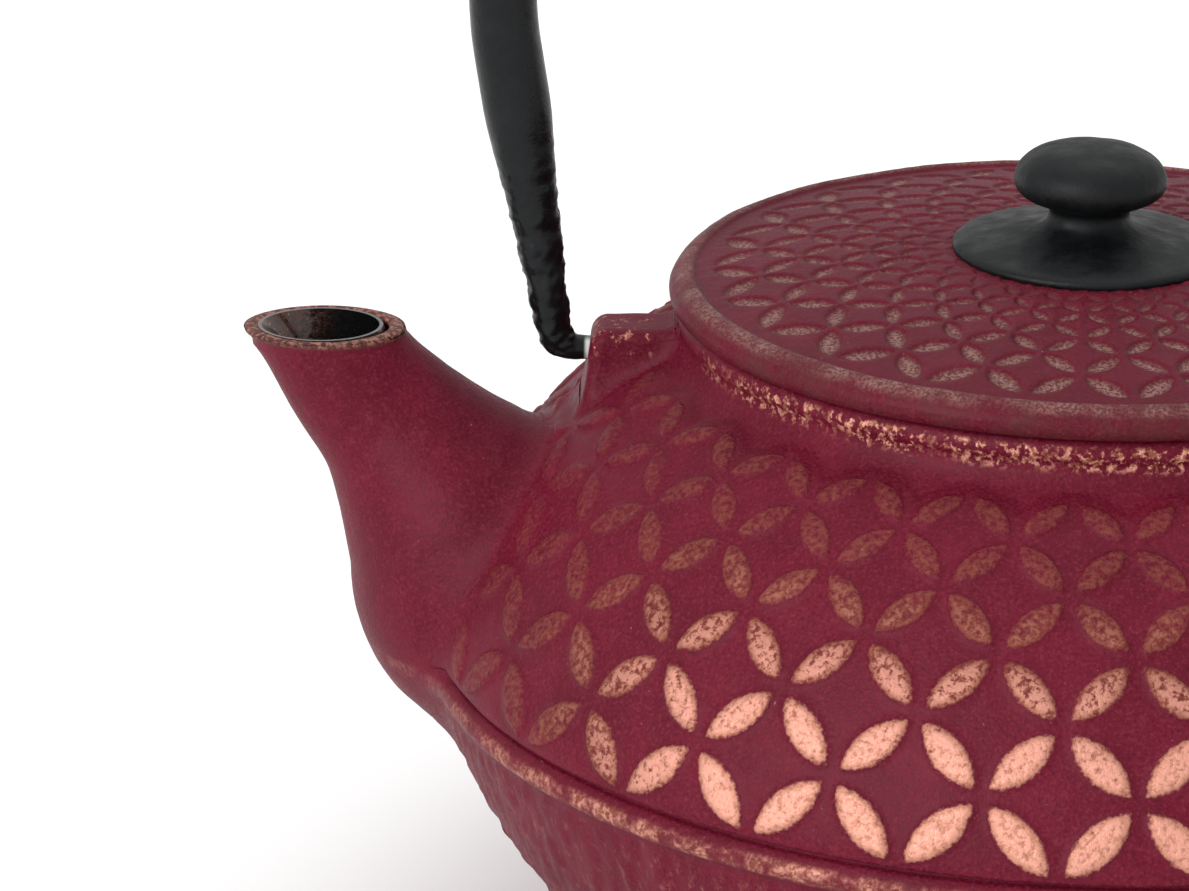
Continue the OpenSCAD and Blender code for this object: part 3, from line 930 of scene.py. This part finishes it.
def brushed_steel(name, stretch):
    """Bright stainless steel with fine brushing and faint tea stains."""
    nodes = Nodes(name)
    brush = nodes.noise(0.25, 2.0, 0.6, stretch=stretch)
    stain = nodes.noise(7.0, 4.0, 0.6)
    colour = nodes.mix(nodes.ramp(stain, 0.45, 0.75, 0.0, 0.5), (0.62, 0.62, 0.63),
                       (0.46, 0.42, 0.38))
    nodes.surface(Base_Color=colour, Roughness=nodes.ramp(brush, 0.3, 0.7, 0.22, 0.40))
    nodes.shader.inputs["Metallic"].default_value = 1.0
    nodes.bump((brush, 0.015))
    return nodes.material


def paint_node(node, material):
    """Gives a CAD node that stays as it is a better material."""
    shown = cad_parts[node]
    shown.data.materials.clear()
    shown.data.materials.append(material)
    for face in shown.data.polygons:
        face.material_index = 0


# ---------------------------------------------------------------- camera, floor and light
def make_camera():
    """The photograph's view: from the front, looking down about 20 degrees."""
    aim = Vector((-59.1, 0, 64.7)) * MM
    distance = 600 * MM
    pitch, roll = math.radians(19.77), math.radians(0.56)
    ahead = Vector((0, math.cos(pitch), -math.sin(pitch)))
    right = Vector((1, 0, 0))
    up = right.cross(ahead)
    tilted_right = right * math.cos(roll) + up * math.sin(roll)
    tilted_up = up * math.cos(roll) - right * math.sin(roll)
    turn = Matrix((tilted_right, tilted_up, -ahead)).transposed()
    data = bpy.data.cameras.new("camera")
    data.sensor_width = 36
    data.lens = 148.7
    camera = bpy.data.objects.new("camera", data)
    camera.matrix_world = Matrix.Translation(aim - ahead * distance) @ turn.to_4x4()
    bpy.context.scene.collection.objects.link(camera)
    bpy.context.scene.camera = camera


def make_light(name, toward, strength, softness):
    """A very soft sun that shines from the direction toward."""
    data = bpy.data.lights.new(name, "SUN")
    data.energy = strength
    data.angle = math.radians(softness)
    lamp = bpy.data.objects.new(name, data)
    lamp.rotation_mode = "QUATERNION"
    lamp.rotation_quaternion = Vector(toward).to_track_quat("Z", "Y")
    bpy.context.scene.collection.objects.link(lamp)


def make_studio():
    """A pale floor, a white surround and two soft lamps."""
    half = 4.0
    mesh = bpy.data.meshes.new("floor")
    corners = [(-half, -half, 0), (half, -half, 0), (half, half, 0), (-half, half, 0)]
    mesh.from_pydata(corners, [], [(0, 1, 2, 3)])
    floor = bpy.data.objects.new("floor", mesh)
    bpy.context.scene.collection.objects.link(floor)
    nodes = Nodes("floor_white")
    nodes.surface(Base_Color=(0.95, 0.95, 0.95), Roughness=0.9)
    mesh.materials.append(nodes.material)
    world = bpy.data.worlds.new("studio")
    world.use_nodes = True
    world.node_tree.nodes["Background"].inputs[0].default_value = (1, 1, 1, 1)
    world.node_tree.nodes["Background"].inputs[1].default_value = 0.76
    bpy.context.scene.world = world
    bpy.context.scene.view_settings.view_transform = "Standard"
    make_light("key_lamp", (-0.62, -0.66, 0.45), 2.0, 34)
    make_light("top_lamp", (0.1, 0.25, 1.0), 0.6, 60)


make_camera()
make_studio()

pot_paint = painted_iron("pot_paint", pot_strength, WINE, COPPER, COPPER_DULL, 0.8, 0.7)
lid_paint = painted_iron("lid_paint", lid_strength, LID_WINE, ASH, SOOT, 0.35, 0.4)
make_pot(pot_paint)
make_lid(lid_paint)
make_knob(black_lacquer("knob_lacquer", 0.42, 0.60, 0.0))
make_handle(black_lacquer("handle_lacquer", 0.24, 0.38, 60.6))
paint_node("enamel_lining", black_enamel("enamel_black_glaze"))
paint_node("knob_screw", brushed_steel("screw_turned_steel", ROUND_BRUSH))
paint_node("knob_washer", brushed_steel("washer_pressed_steel", FLAT_BRUSH))
paint_node("basket_rim", brushed_steel("rim_pressed_steel", ROUND_BRUSH))
paint_node("basket_wall", brushed_steel("wall_punched_steel", WALL_BRUSH))
paint_node("basket_ring", brushed_steel("ring_pressed_steel", ROUND_BRUSH))
paint_node("basket_floor", brushed_steel("floor_punched_steel", FLAT_BRUSH))
